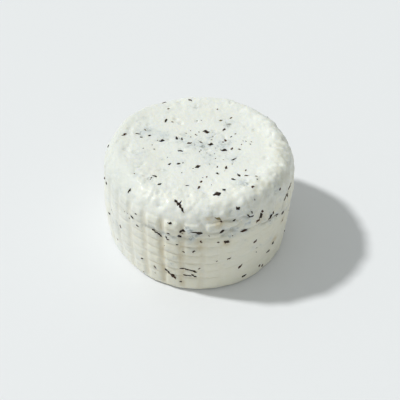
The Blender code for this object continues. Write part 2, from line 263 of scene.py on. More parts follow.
# Single knobs of curd on the shoulder: bearing, height and reach in millimetres
KNOBS = (
    (-38.0, 62.6, 2.6),
    (-33.0, 65.2, 2.0),
    (-28.8, 64.8, 2.2),
    (5.8, 63.6, 1.9),
    (15.7, 62.4, 1.9),
    (28.7, 63.9, 2.4),
    (32.3, 57.3, 1.1),
    (33.7, 63.3, 2.0),
    (57.0, 56.7, 2.6),
    (70.0, 59.4, 2.6),
    (74.5, 65.1, 3.0),
    (95.0, 64.0, 2.6),
    (117.0, 65.5, 2.2),
)

# Truffle that shows through the skin as a grey-blue smudge: x, y and reach in millimetres on the top
TOP_SMUDGES = (
    (-30.0, 14.0, 6.5),
    (-21.0, 11.0, 5.0),
    (-34.0, -6.0, 3.5),
    (-10.0, 7.0, 6.0),
    (0.0, 3.0, 7.0),
    (7.0, 9.0, 6.0),
    (14.0, 3.0, 7.0),
    (19.0, -8.0, 5.0),
    (5.0, -8.0, 6.0),
    (24.0, -30.0, 4.0),
    (-14.0, -12.0, 4.0),
    (16.0, 24.0, 5.0),
)

# The same on the wall: bearing, height and reach in millimetres
WALL_SMUDGES = (
    (-22.0, 46.5, 4.5),
    (-5.0, 54.5, 3.2),
    (0.5, 52.0, 3.4),
    (-3.0, 47.0, 3.0),
    (-3.0, 38.5, 2.4),
    (20.5, 50.0, 4.5),
    (31.0, 53.0, 4.0),
    (47.0, 52.0, 4.0),
    (62.0, 55.0, 4.0),
)

# Low places between the lumps, pushed in and given painted shade: bearing, height and reach in millimetres
HOLLOWS = (
    (16.0, 48.5, 2.4),
    (21.6, 51.5, 2.8),
    (25.2, 53.8, 2.6),
    (18.4, 60.7, 2.4),
    (33.6, 62.7, 2.4),
    (48.4, 58.6, 3.2),
    (39.4, 64.6, 1.7),
    (52.0, 65.0, 1.9),
    (62.0, 65.8, 2.2),
    (80.8, 65.4, 2.4),
    (89.0, 64.0, 2.2),
    (100.0, 65.0, 2.4),
)

# Where truffle stained the curd round it tan: bearing, height and reach in millimetres
STAINS = (
    (0.8, 45.0, 3.0),
    (1.4, 40.5, 2.8),
    (12.5, 57.5, 3.2),
    (16.8, 42.0, 2.6),
    (7.0, 61.0, 2.4),
    (39.5, 50.0, 2.6),
    (61.5, 34.5, 2.4),
    (54.5, 23.0, 2.6),
    (-9.0, 31.0, 3.0),
)


# ---------------------------------------------------------------- sizes and colours a user would change


class WheelSettings(PropertyGroup):
    height: FloatProperty(
        name="Height", description="Height of the cheese", default=0.067, min=0.03, max=0.12, unit="LENGTH"
    )
    base_radius: FloatProperty(
        name="Base radius", description="Radius of the foot of the wall", default=0.0521, unit="LENGTH"
    )
    widest_radius: FloatProperty(
        name="Widest radius", description="Radius where the wall is widest", default=0.055, unit="LENGTH"
    )
    widest_height: FloatProperty(
        name="Widest height", description="Height at which the wall is widest", default=0.045, unit="LENGTH"
    )
    top_radius: FloatProperty(
        name="Top radius", description="Radius of the dished top", default=0.0445, unit="LENGTH"
    )
    base_edge: FloatProperty(
        name="Base edge", description="Rounding of the edge it rests on", default=0.003, unit="LENGTH"
    )
    dish: FloatProperty(
        name="Dish", description="How far the middle of the top has sunk", default=0.0015, unit="LENGTH"
    )
    belly: FloatProperty(
        name="Belly", description="How far the wall bulges halfway up", default=0.0004, unit="LENGTH"
    )
    lean: FloatProperty(
        name="Lean", description="How far the top sits to the right, per height", default=0.02
    )
    mesh_step: FloatProperty(
        name="Mesh step", description="Distance between points of the skin", default=0.00056, unit="LENGTH"
    )


class MouldSettings(PropertyGroup):
    ribs: IntProperty(name="Ribs", description="Ribs round the wall", default=29, min=8, max=60)
    points_per_rib: IntProperty(
        name="Points a rib", description="Points of the skin across each rib", default=15, min=6, max=24
    )
    rib_bearing: FloatProperty(name="First rib", description="Bearing of a rib, in degrees", default=8.4)
    rib_depth: FloatProperty(
        name="Rib depth", description="From a rib's face to its groove", default=0.001, unit="LENGTH"
    )
    hoop_foot: FloatProperty(
        name="Foot band", description="Height of the band under the hoops", default=0.0055, unit="LENGTH"
    )
    hoop_pitch: FloatProperty(
        name="Hoop spacing", description="Distance from hoop to hoop", default=0.00695, unit="LENGTH"
    )
    hoops: IntProperty(name="Hoops", description="Level hoops round the ribs", default=6)
    notch_depth: FloatProperty(
        name="Notch depth", description="How deep the hoops marked the ribs", default=0.00105, unit="LENGTH"
    )
    boss_low: FloatProperty(
        name="Boss foot", description="Height of the lower edge of the bosses", default=0.0525, unit="LENGTH"
    )
    boss_high: FloatProperty(
        name="Boss head", description="Height of the upper edge of the bosses", default=0.058, unit="LENGTH"
    )
    boss_depth: FloatProperty(
        name="Boss depth", description="How far the highest windows stand out", default=0.0011, unit="LENGTH"
    )
    seam_depth: FloatProperty(
        name="Seam depth", description="Depth of the seam below the shoulder", default=0.0007, unit="LENGTH"
    )
    lump_depth: FloatProperty(
        name="Lumps", description="Height of the curd lumps on the shoulder", default=0.0017, unit="LENGTH"
    )
    curd_depth: FloatProperty(
        name="Curd", description="Roughness of the curd between the lumps", default=0.0013, unit="LENGTH"
    )
    unevenness: FloatProperty(
        name="Unevenness", description="Slow waves of the whole skin", default=0.0006, unit="LENGTH"
    )


class SkinSettings(PropertyGroup):
    top: FloatVectorProperty(
        name="Top", description="Colour of the top's skin", default=(0.79, 0.80, 0.76), subtype="COLOR"
    )
    wall: FloatVectorProperty(
        name="Wall", description="Colour of the wall's skin", default=(0.77, 0.75, 0.64), subtype="COLOR"
    )
    groove: FloatVectorProperty(
        name="Grooves", description="Colour between the ribs", default=(0.62, 0.545, 0.385), subtype="COLOR"
    )
    # Painted shade in the bottom of the seam and the folds
    crease: FloatVectorProperty(
        name="Creases", description="Colour of seam and folds", default=(0.33, 0.32, 0.27), subtype="COLOR"
    )
    # Painted shade in the hollows and along the shaded side of the right shoulder
    hollow_painted_shade: FloatVectorProperty(
        name="Hollows", description="Colour between the lumps", default=(0.60, 0.58, 0.46), subtype="COLOR"
    )
    # Painted shade that darkens the left shoulder, where the key light falls most
    left_painted_shade: FloatVectorProperty(
        name="Painted shade", description="Colour of the shade-painted skin", default=(0.62, 0.64, 0.605), subtype="COLOR"
    )
    veil: FloatVectorProperty(
        name="Veil", description="Colour of skin over truffle", default=(0.60, 0.64, 0.645), subtype="COLOR"
    )
    buried: FloatVectorProperty(
        name="Buried", description="Colour of buried truffle", default=(0.36, 0.385, 0.375), subtype="COLOR"
    )
    roughness: FloatProperty(
        name="Roughness", description="Roughness of the skin", default=0.55, subtype="FACTOR"
    )


class TruffleSettings(PropertyGroup):
    black: FloatVectorProperty(
        name="Black", description="Colour of the dark chips", default=(0.016, 0.011, 0.008), subtype="COLOR"
    )
    brown: FloatVectorProperty(
        name="Brown", description="Colour of the brown chips", default=(0.075, 0.035, 0.022), subtype="COLOR"
    )
    olive: FloatVectorProperty(
        name="Olive", description="Colour of the palest chips", default=(0.22, 0.18, 0.085), subtype="COLOR"
    )
    thickness: FloatProperty(
        name="Thickness", description="Thickness of a chip", default=0.0009, unit="LENGTH"
    )
    specks: IntProperty(name="Specks", description="Fine specks on the whole cheese", default=110)


class StageSettings(PropertyGroup):
    floor: FloatVectorProperty(
        name="Floor", description="Colour of the floor", default=(0.78, 0.785, 0.81), subtype="COLOR"
    )
    key: FloatProperty(name="Key light", description="Strength of the key light", default=2.28)
    key_angle: FloatProperty(
        name="Key size", description="Apparent size of the light", default=math.radians(5.0), subtype="ANGLE"
    )
    fill: FloatProperty(name="Fill light", description="Strength of the light from all round", default=0.5)
    elevation: FloatProperty(
        name="Camera elevation",
        description="How steeply the camera looks down",
        default=math.radians(43.5),
        subtype="ANGLE",
    )
    distance: FloatProperty(
        name="Camera distance", description="From the camera to the cheese", default=0.6065, unit="LENGTH"
    )
    lens: FloatProperty(name="Lens", description="Focal length in millimetres", default=90.0)


# ---------------------------------------------------------------- helpers


def start_clean():
    """Leaves edit mode and selects nothing."""
    if bpy.context.object and bpy.context.object.mode != "OBJECT":
        bpy.ops.object.mode_set(mode="OBJECT")
    bpy.ops.object.select_all(action="DESELECT")


def only(piece):
    start_clean()
    piece.select_set(True)
    bpy.context.view_layer.objects.active = piece


def apply_modifier(piece, modifier):
    only(piece)
    bpy.ops.object.modifier_apply(modifier=modifier.name)


def smooth(edge_low, edge_high, value):
    """0 below edge_low, 1 above edge_high and an S-curve between."""
    share = min(1.0, max(0.0, (value - edge_low) / (edge_high - edge_low)))
    return share * share * (3.0 - 2.0 * share)


def between(rise, fall, value):
    """1 from the end of the rise to the start of the fall, eased along both, and 0 outside them."""
    return smooth(*rise, value) * (1.0 - smooth(*fall, value))


def bell(away, reach):
    """1 at no distance, fading out past the reach."""
    return math.exp(-((away / reach) ** 2))


def bearing_of(place):
    """Degrees from the front, rising towards the right."""
    return math.degrees(math.atan2(place.x, -place.y))


def bearings_apart(one, other):
    return abs((one - other + 180.0) % 360.0 - 180.0)


def outward_at(bearing):
    turn = math.radians(bearing)
    return Vector((math.sin(turn), -math.cos(turn), 0.0))


# ---------------------------------------------------------------- the form of the wheel

# The curve of the shoulder: 2 would be an ellipse, and more is squarer
SHOULDER_POWER = 2.3

# Points of the fine outline across the foot, round its edge, and along each of the three runs above it
FOOT_POINTS = 60
EDGE_POINTS = 40
RUN_POINTS = 300

# Mesh steps between the kept points across the foot, and across the top within a share of its radius
FOOT_STEPS = 7.0
TOP_STEPS = 1.3
TOP_STEPS_WITHIN = 0.85

# What is lower than this rests on the table
ON_TABLE = 0.001 * MM


def turned_radius(wheel, height):
    """Radius of the plain turned wall and shoulder at a height, before any relief."""
    if height <= wheel.base_edge:
        rise = height / wheel.base_edge
        return wheel.base_radius - wheel.base_edge * (1.0 - math.sqrt(1.0 - (1.0 - rise) ** 2))
    if height <= wheel.widest_height:
        share = (height - wheel.base_edge) / (wheel.widest_height - wheel.base_edge)
        flare = (wheel.widest_radius - wheel.base_radius) * share
        return wheel.base_radius + flare + wheel.belly * math.sin(math.pi * share)
    climb = min(1.0, (height - wheel.widest_height) / (wheel.height - wheel.widest_height))
    across = max(0.0, 1.0 - climb**SHOULDER_POWER) ** (1.0 / SHOULDER_POWER)
    return wheel.top_radius + (wheel.widest_radius - wheel.top_radius) * across


def fine_profile(wheel):
    """The turned outline as close points, from the foot's middle up the wall and in to the top's middle."""
    foot = wheel.base_radius - wheel.base_edge
    points = [Vector((foot * i / FOOT_POINTS, 0.0)) for i in range(FOOT_POINTS)]
    heights = []
    for i in range(EDGE_POINTS + 1):
        heights.append(wheel.base_edge * (1.0 - math.cos(math.pi / 2.0 * i / EDGE_POINTS)))
    for i in range(1, RUN_POINTS + 1):
        heights.append(wheel.base_edge + (wheel.widest_height - wheel.base_edge) * i / RUN_POINTS)
    for i in range(1, RUN_POINTS + 1):
        rise = math.sin(math.pi / 2.0 * i / RUN_POINTS) ** (2.0 / SHOULDER_POWER)
        heights.append(wheel.widest_height + (wheel.height - wheel.widest_height) * rise)
    points += [Vector((turned_radius(wheel, height), height)) for height in heights]
    for i in range(1, RUN_POINTS + 1):
        share = 1.0 - i / RUN_POINTS
        points.append(Vector((wheel.top_radius * share, wheel.height - wheel.dish * (1.0 - share**3))))
    return points


def even_profile(wheel):
    """The outline again with its points one mesh step apart, and wider apart across the foot and the top."""
    fine = fine_profile(wheel)
    kept = [fine[0]]
    walked = 0.0
    for last, here in zip(fine, fine[1:]):
        walked += (here - last).length
        wanted = wheel.mesh_step
        if here.y < ON_TABLE:
            wanted *= FOOT_STEPS
        elif here.y > wheel.height - wheel.dish - ON_TABLE and here.x < TOP_STEPS_WITHIN * wheel.top_radius:
            wanted *= TOP_STEPS
        if walked >= wanted:
            kept.append(here)
            walked = 0.0
    kept[-1] = fine[-1]
    return kept


def turn_wheel(wheel, steps):
    """Draws the outline by extruding one vertex, and spins it into a closed wheel."""
    outline = even_profile(wheel)
    start_clean()
    bpy.ops.mesh.primitive_plane_add(size=1.0 * MM, location=(0.0, 0.0, 0.0))
    piece = bpy.context.object
    piece.name = piece.data.name = "caciotta"
    bpy.ops.object.mode_set(mode="EDIT")
    bpy.ops.mesh.select_all(action="SELECT")
    bpy.ops.mesh.merge(type="CENTER")
    for last, here in zip(outline, outline[1:]):
        step = (here.x - last.x, 0.0, here.y - last.y)
        bpy.ops.mesh.extrude_region_move(TRANSFORM_OT_translate={"value": step})
    bpy.ops.mesh.select_all(action="SELECT")
    bpy.ops.mesh.spin(steps=steps, angle=2.0 * math.pi, center=(0.0, 0.0, 0.0), axis=(0.0, 0.0, 1.0))
    bpy.ops.mesh.select_all(action="SELECT")
    bpy.ops.mesh.remove_doubles(threshold=0.01 * MM)
    bpy.ops.mesh.normals_make_consistent(inside=False)
    bpy.ops.object.mode_set(mode="OBJECT")
    return piece


# ---------------------------------------------------------------- what the basket mould left

# Shares of the ribs' spacing, from a rib's middle: where its face ends, and where the groove is deepest
RIB_FACE = (0.22, 0.45)

# Where the ribs fade in above the table, and out round the upper edge of the bosses
RIB_START = 0.5 * MM
RIB_END = (-5.0 * MM, 4.0 * MM)

# How far the bosses stand out: the least, how much they differ, and the boldest, by degrees from its bearing
LEAST_BOSS = 0.2
BOSS_VARIETY = 0.35
BOLD_BOSS = 0.8
BOLD_BEARING = -3.0
BOLD_REACH = (16.0, 32.0)
BOSS_LOWER_EDGE = 1.0 * MM
BOSS_UPPER_EDGE = 1.2 * MM

# A hoop's notch: a fine line inside a wide one, a little off level
NOTCH_LINE = (0.1 * MM, 1.0 * MM)
NOTCH_WIDTH = 3.2 * MM
NOTCH_FINE_SHARE = 0.65
NOTCH_WOBBLE = 0.4 * MM


def rib_turns(mould, bearing):
    return (bearing - mould.rib_bearing) * mould.ribs / 360.0


def rib_face(mould, bearing):
    """1 on a rib's raised face, 0 in the groove between two ribs."""
    turns = rib_turns(mould, bearing)
    return 1.0 - smooth(*RIB_FACE, abs(turns - round(turns)))


def rib_strength(bearing):
    """The mould pressed the front and the back well, the left less, and the right only faintly."""
    strength = 1.0
    for middle, least, start, end in FAINT_SIDES:
        strength *= least + (1.0 - least) * smooth(start, end, bearings_apart(bearing, middle))
    return strength


def boss_size(mould, bearing):
    """How far the boss of the rib at this bearing stands out: well at the front, elsewhere little."""
    number = round(rib_turns(mould, bearing)) % mould.ribs
    drawn = random.Random(SEED + number).random()
    middle = mould.rib_bearing + 360.0 * number / mould.ribs
    bold = 1.0 - smooth(*BOLD_REACH, bearings_apart(middle, BOLD_BEARING))
    return LEAST_BOSS + BOSS_VARIETY * drawn + bold * (BOLD_BOSS - BOSS_VARIETY * drawn)


def seam_height(bearing):
    """Height of the seam at a bearing, eased from bend to bend."""
    bearing = (bearing + 180.0) % 360.0 - 180.0
    last_bearing, last_height = SEAM[-1]
    bends = ((last_bearing - 360.0, last_height),) + SEAM
    for (start, low), (end, high) in zip(bends, bends[1:]):
        if start <= bearing <= end:
            return (low + (high - low) * smooth(start, end, bearing)) * MM
    return last_height * MM


def rib_reach(mould, place):
    """1 where the ribs run, fading out at the foot and above the bosses."""
    end = [mould.boss_high + off for off in RIB_END]
    return between((RIB_START, mould.hoop_foot), end, place.z)


# Every weight and tone below is asked for in one way: by the wheel, the mould and a place of the plain wheel


def rib_weight(wheel, mould, place):
    bearing = bearing_of(place)
    return rib_reach(mould, place) * rib_strength(bearing) * rib_face(mould, bearing)


def groove_weight(wheel, mould, place):
    bearing = bearing_of(place)
    return rib_reach(mould, place) * rib_strength(bearing) * (1.0 - rib_face(mould, bearing))


def notch_weight(wheel, mould, place):
    """The level lines that the hoops pressed into the ribs, each a little off level and of its own depth."""
    bearing = bearing_of(place)
    number = round(rib_turns(mould, bearing))
    wobble = NOTCH_WOBBLE * noise.noise(Vector((number * 1.7, place.z / (9.0 * MM), 5.0)))
    hoop = min(mould.hoops, max(1, round((place.z - mould.hoop_foot) / mould.hoop_pitch)))
    away = abs(place.z + wobble - mould.hoop_foot - hoop * mould.hoop_pitch)
    if away > NOTCH_WIDTH or place.z > mould.boss_low:
        return 0.0
    depth = 0.75 + 0.5 * noise.noise(Vector((number * 3.1, hoop * 2.3, 1.0)))
    across = 0.3 + 0.7 * rib_face(mould, bearing)
    strength = 0.25 + 0.75 * rib_strength(bearing)
    fine = 1.0 - smooth(*NOTCH_LINE, away)
    wide = 1.0 - smooth(0.0, NOTCH_WIDTH, away)
    line = NOTCH_FINE_SHARE * fine + (1.0 - NOTCH_FINE_SHARE) * wide
    return line * depth * across * strength


def boss_weight(wheel, mould, place):
    bearing = bearing_of(place)
    lower_edge = (mould.boss_low, mould.boss_low + BOSS_LOWER_EDGE)
    upper_edge = (mould.boss_high - BOSS_UPPER_EDGE, mould.boss_high)
    row = between(lower_edge, upper_edge, place.z)
    return row * rib_face(mould, bearing) * boss_size(mould, bearing)


# ---------------------------------------------------------------- the seam and what the curd left

# How many reaches from its middle a spot ends
SPOT_END = 2.0

# The heights between which the wall is marked, and how far in from the top's radius it counts as wall
WALL_HEIGHTS = (20.0 * MM, 62.0 * MM)
WALL_WITHIN = 0.9

# The seam: how far it wanders off its line, and the widths of its trough and of the crease inside
SEAM_WANDER = 1.1 * MM
SEAM_TROUGH = 2.4 * MM
SEAM_CREASE = 0.7 * MM
FAINT_SEAM = ((-150.0, -120.0), (-45.0, -30.0))

# The ledge above the seam: its bearings, and how it rises and falls above the seam
LEDGE_BEARINGS = ((8.0, 40.0), (95.0, 120.0))
LEDGE_HEIGHTS = ((0.0, 1.4 * MM), (2.5 * MM, 9.0 * MM))

# The heights between which folds run, how far they wander, and how many degrees past their ends they fade
FOLD_HEIGHTS = (44.0 * MM, 61.0 * MM)
FOLD_WANDER = 0.5 * MM
FOLD_FADE = 4.0

# The lumpiest bearing, and how far from it the lumps get fewer
LUMPY_BEARING = 45.0
LUMPS_FEWER = (70.0, 130.0)

# Where the shoulder starts above the wall, and where it is narrower than elsewhere
SHOULDER_START = 56.0 * MM
NARROW_BEARINGS = ((40.0, 75.0), (150.0, 175.0))

# The sizes of lumps, of the two layers of curd on them, of grains and of pits
LUMP_SIZE = 7.5 * MM
CURD_SIZES = (4.6 * MM, 2.3 * MM)
GRAIN_SIZE = 6.5 * MM
PIT_SIZE = 3.6 * MM
KNOB_END = 1.7
LEAST_CURD = 0.12


def spot_middle(wheel, bearing, height):
    """A spot of the wall, by bearing and height in millimetres, before the cheese leans."""
    upward = Vector((-wheel.lean, 0.0, 1.0))
    return outward_at(bearing) * turned_radius(wheel, height * MM) + upward * height * MM


def nearness(wheel, place, spots):
    """1 at the middle of the nearest spot of the wall, fading out to its reach."""
    near = 0.0
    for bearing, height, reach in spots:
        end = SPOT_END * reach * MM
        if abs(place.z - height * MM) > end:
            continue
        away = (place - spot_middle(wheel, bearing, height)).length
        if away < end:
            near = max(near, bell(away, reach * MM))
    return near


def seam_off(place):
    """How far above the seam's wandering line a point of the wall is."""
    wander = SEAM_WANDER * noise.noise(place / (6.0 * MM) + Vector((9.0, 2.0, 4.0)))
    return place.z + wander - seam_height(bearing_of(place))


def seam_strength(bearing):
    """The seam is bold in front and on the right, and faint on the left."""
    return 1.0 - 0.65 * between(*FAINT_SEAM, bearing)


def on_wall(wheel, place):
    low, high = WALL_HEIGHTS
    return low < place.z < high and place.xy.length > WALL_WITHIN * wheel.top_radius


def seam_weight(wheel, mould, place):
    """A narrow crease inside a wide, shallow trough, broken here and there."""
    if not on_wall(wheel, place):
        return 0.0
    off = seam_off(place)
    broken = smooth(-0.35, 0.25, noise.noise(place / (11.0 * MM)))
    crease = bell(off, SEAM_CREASE) * broken
    return (0.6 * bell(off, SEAM_TROUGH) + 0.4 * crease) * seam_strength(bearing_of(place))


def ledge_weight(wheel, mould, place):
    """On the right the curd above the seam hangs over it a little."""
    if not on_wall(wheel, place):
        return 0.0
    return between(*LEDGE_BEARINGS, bearing_of(place)) * between(*LEDGE_HEIGHTS, seam_off(place))


def unrolled(wheel, bearing, height):
    """A place of the wall, laid out flat: how far round it is, and how high."""
    return Vector((math.radians(bearing) * wheel.widest_radius, height))


def fold_weight(wheel, mould, place):
    """The creases of the folds beside the seam."""
    low, high = FOLD_HEIGHTS
    if not low < place.z < high:
        return 0.0
    bearing = bearing_of(place + Vector((wheel.lean * place.z, 0.0, 0.0)))
    here = unrolled(wheel, bearing, place.z + FOLD_WANDER * noise.noise(place / (3.0 * MM)))
    weight = 0.0
    for width, bends in FOLDS:
        if not bends[0][0] - FOLD_FADE < bearing < bends[-1][0] + FOLD_FADE:
            continue
        corners = [unrolled(wheel, at, height * MM) for at, height in bends]
        for start, end in zip(corners, corners[1:]):
            share = min(1.0, max(0.0, (here - start).dot(end - start) / (end - start).length_squared))
            weight = max(weight, bell((here - start.lerp(end, share)).length, width * MM))
    return weight


def lumpiness(bearing):
    """Fewer lumps on the side away from the lumpiest."""
    return 1.0 - 0.6 * smooth(*LUMPS_FEWER, bearings_apart(bearing, LUMPY_BEARING))


def on_shoulder(wheel, place):
    """1 on the rounded shoulder and the rim of the top, fading out down the wall and across the top."""
    up = smooth(SHOULDER_START, wheel.height - 4.0 * MM, place.z)
    narrow = 0.2 * between(*NARROW_BEARINGS, bearing_of(place))
    inner = (0.62 + narrow) * wheel.top_radius
    outer = (0.93 + 0.4 * narrow) * wheel.top_radius
    return up * smooth(inner, outer, place.xy.length)


def lump_weight(wheel, mould, place):
    """The slow curd lumps on the shoulder."""
    shoulder = on_shoulder(wheel, place)
    if shoulder <= 0.0:
        return 0.0
    return shoulder * lumpiness(bearing_of(place)) * (0.5 + 0.5 * noise.noise(place / LUMP_SIZE))


def middle_weight(wheel, mould, place):
    """Takes the lumps' mean height off again, so that half of them stand out and half lie in."""
    return on_shoulder(wheel, place) * lumpiness(bearing_of(place))


def grain(place, size, share):
    """A round grain of curd in some of the cells of a given size: 1 at its middle, 0 beyond its edge."""
    distances, points = noise.voronoi(place / size)
    if 0.5 + noise.noise(points[0] * 3.7) < 1.0 - share:
        return 0.0
    edge = 0.5 * (distances[1] - distances[0])
    return smooth(0.0, 0.32, edge) * (1.0 - smooth(0.35, 0.75, distances[0]))


def knob_weight(wheel, mould, place):
    """The single knobs of curd, and low grains between them."""
    shoulder = on_shoulder(wheel, place)
    if shoulder <= 0.0:
        return 0.0
    weight = 0.3 * shoulder * lumpiness(bearing_of(place)) * grain(place, GRAIN_SIZE, 0.5)
    for bearing, height, reach in KNOBS:
        if abs(place.z - height * MM) > KNOB_END * reach * MM:
            continue
        away = (place - spot_middle(wheel, bearing, height)).length / (reach * MM)
        weight = max(weight, 1.0 - smooth(0.1, KNOB_END, away))
    return weight


def curd_weight(wheel, mould, place):
    """Uneven curd between the lumps: strongest on the lumpy side, weak across the top and down the wall."""
    if place.z < wheel.widest_height:
        return LEAST_CURD * smooth(1.0 * MM, 5.0 * MM, place.z)
    coarse, fine = (noise.noise(place / size) for size in CURD_SIZES)
    down = smooth(wheel.widest_height, 58.0 * MM, place.z)
    spread = 0.15 + 0.85 * on_shoulder(wheel, place) * lumpiness(bearing_of(place))
    return max(LEAST_CURD, down * spread) * (0.5 + 0.35 * coarse + 0.3 * fine)


def pit_weight(wheel, mould, place):
    """Small hollows where curd didn't close, round the rim and a few across the top."""
    if place.z < 55.0 * MM:
        return 0.0
    share = 0.10 + 0.22 * on_shoulder(wheel, place)
    return grain(place + Vector((0.0, 0.0, 0.5)), PIT_SIZE, share)


def low_weight(wheel, mould, place):
    """The low places between the lumps."""
    return nearness(wheel, place, HOLLOWS) if place.z > 44.0 * MM else 0.0


# ---------------------------------------------------------------- pressing and settling

# Weights below this aren't worth a place in their group
LEAST_WEIGHT = 0.002

# The grains of the skin's roughness, and how deep it is from crest to pit
ROUGH_SIZE = 2.6 * MM
ROUGH_DEPTH = 0.28 * MM

# The size of the slow waves of the whole skin, and how much and how high up the foot's edge wavers
WAVE_SIZE = 20.0 * MM
FOOT_WAVER = 0.45 * MM
FOOT_WAVER_HEIGHT = 6.0 * MM


def press_mould(piece, wheel, mould):
    """Paints a vertex group for each mark and pushes the skin along it. Returns the places from before."""
    marks = (
        ("ribs", rib_weight, 0.5 * mould.rib_depth),
        ("grooves", groove_weight, -0.5 * mould.rib_depth),
        ("hoop notches", notch_weight, -mould.notch_depth),
        ("bosses", boss_weight, mould.boss_depth),
        ("seam", seam_weight, -mould.seam_depth),
        ("ledge", ledge_weight, 0.9 * mould.seam_depth),
        ("folds", fold_weight, -mould.seam_depth),
        ("lumps", lump_weight, mould.lump_depth),
        ("under the lumps", middle_weight, -0.5 * mould.lump_depth),
        ("knobs", knob_weight, 0.5 * mould.lump_depth),
        ("curd", curd_weight, mould.curd_depth),
        ("pits", pit_weight, -0.35 * mould.lump_depth),
        ("hollows", low_weight, -0.3 * mould.lump_depth),
    )
    places = [vert.co.copy() for vert in piece.data.vertices]
    for name, weight_of, strength in marks:
        group = piece.vertex_groups.new(name=name)
        for index, place in enumerate(places):
            weight = weight_of(wheel, mould, place)
            if weight > LEAST_WEIGHT:
                group.add([index], weight, "REPLACE")
        push = piece.modifiers.new(name, "DISPLACE")
        push.vertex_group = name
        push.strength = strength
        push.mid_level = 0.0
        apply_modifier(piece, push)
    return places


def roughen(piece):
    """Small relief all over, from a procedural texture in the piece's own space."""
    texture = bpy.data.textures.new("roughness", "CLOUDS")
    texture.noise_scale = ROUGH_SIZE
    push = piece.modifiers.new("roughness", "DISPLACE")
    push.texture = texture
    push.texture_coords = "LOCAL"
    push.strength = ROUGH_DEPTH
    push.mid_level = 0.5
    apply_modifier(piece, push)
    bpy.data.textures.remove(texture)


def rest_on_table(piece, places):
    """Puts the points of the foot back on the table."""
    for vert, place in zip(piece.data.vertices, places):
        if place.z < ON_TABLE:
            vert.co.z = 0.0


def settle(piece, wheel, mould, places):
    """Lets the cheese sag a little out of round and off to one side, as it did when it left the mould."""
    for vert, place in zip(piece.data.vertices, places):
        share = min(1.0, place.xy.length / wheel.top_radius)
        bearing = bearing_of(place)
        out = 0.0
        for count, (depth, crest) in LOBES.items():
            out += depth * math.cos(count * math.radians(bearing - crest))
        for middle, reach, depth, height in SLUMPS:
            level = 1.0 - smooth(0.45 * height * MM, height * MM, place.z)
            out += depth * MM * level * (1.0 - smooth(0.0, reach, bearings_apart(bearing, middle)))
        out += mould.unevenness * noise.noise(place / WAVE_SIZE)
        out += FOOT_WAVER * noise.noise(place / (7.0 * MM)) * (1.0 - smooth(0.0, FOOT_WAVER_HEIGHT, place.z))
        lift = mould.unevenness * noise.noise(place / WAVE_SIZE + Vector((3.0, 7.0, 1.0)))
        vert.co += outward_at(bearing) * out * share
        vert.co += Vector((wheel.lean * place.z, 0.0, lift * smooth(60.0 * MM, 64.0 * MM, place.z)))
    rest_on_table(piece, places)


# ---------------------------------------------------------------- what the skin's colour depends on

# The grooves' tan fades on the right and a little on the left
PALE_RIGHT = ((-8.0, 8.0), (110.0, 150.0))
PALE_LEFT = ((-160.0, -120.0), (-50.0, -18.0))
NOTCH_TONE = 0.7

# Heights over which the wall's colour gives way to the top's
WALL_FADE = (48.0 * MM, 64.0 * MM)

# Bearings of the bare side, the left side with painted shade and the right side with painted shade in its
# hollows, and how far each holds and fades
BARE_SIDE = (-90.0, (20.0, 75.0))
LEFT_PAINTED_SHADE_SIDE = (-95.0, (25.0, 75.0))
RIGHT_PAINTED_SHADE_SIDE = (65.0, (20.0, 60.0))

# Truffle inside the seam shows as a band a little above its line
BURIED_RISE = 1.0 * MM
BURIED_REACH = 3.6 * MM


def beside(side, place):
    """1 on a side of the cheese, fading out away from it."""
    middle, fade = side
    return 1.0 - smooth(*fade, bearings_apart(bearing_of(place), middle))


def groove_tone(wheel, mould, place):
    """Tan between the ribs, hardly any on the right."""
    bearing = bearing_of(place)
    tan = 1.0 - 0.8 * between(*PALE_RIGHT, bearing) - 0.2 * between(*PALE_LEFT, bearing)
    groove = groove_weight(wheel, mould, place) ** 1.4
    tone = tan * max(groove, NOTCH_TONE * notch_weight(wheel, mould, place))
    if on_wall(wheel, place):
        tone = max(tone, min(1.0, 1.2 * nearness(wheel, place, STAINS)))
    return tone


def wall_tone(wheel, mould, place):
    """1 on the wall and 0 on the top, with less of it on the left."""
    return (1.0 - 0.7 * beside(BARE_SIDE, place)) * (1.0 - smooth(*WALL_FADE, place.z))


def left_painted_shade_tone(wheel, mould, place):
    """Painted shade: the left shoulder and upper wall made duller and a little darker, where the key light
    strikes them most.
    """
    out = smooth(0.94 * wheel.top_radius, 1.06 * wheel.top_radius, place.xy.length)
    up = 0.35 + 0.65 * smooth(40.0 * MM, 55.0 * MM, place.z)
    return beside(LEFT_PAINTED_SHADE_SIDE, place) * out * up * smooth(6.0 * MM, 20.0 * MM, place.z)


def hollow_painted_shade_tone(wheel, mould, place):
    """Painted shade, tan and grey, in the low places between the lumps of the right shoulder and along its
    shaded side below the rim.
    """
    low = smooth(0.05, -0.25, noise.noise(place / LUMP_SIZE))
    low = max(low, smooth(0.15, -0.2, noise.noise(place / CURD_SIZES[0])))
    # Painted shade along the whole shaded right shoulder below the rim
    below = 0.45 * (1.0 - smooth(64.0 * MM, 66.2 * MM, place.z))
    rim = smooth(0.88 * wheel.top_radius, 1.0 * wheel.top_radius, place.xy.length)
    spread = max(low, below) * beside(RIGHT_PAINTED_SHADE_SIDE, place) * rim * on_shoulder(wheel, place)
    return max(spread, 1.3 * nearness(wheel, place, HOLLOWS))


def crease_painted_shade_tone(wheel, mould, place):
    """Painted shade: dark in the bottom of the seam and of the folds beside it."""
    if not on_wall(wheel, place):
        return 0.0
    broken = smooth(-0.3, 0.3, noise.noise(place / (8.0 * MM)))
    streaky = smooth(-0.45, 0.2, noise.noise(place / (3.5 * MM)))
    seam = bell(seam_off(place), 0.9 * MM) * broken * seam_strength(bearing_of(place))
    return max(seam, 0.65 * streaky * fold_weight(wheel, mould, place))


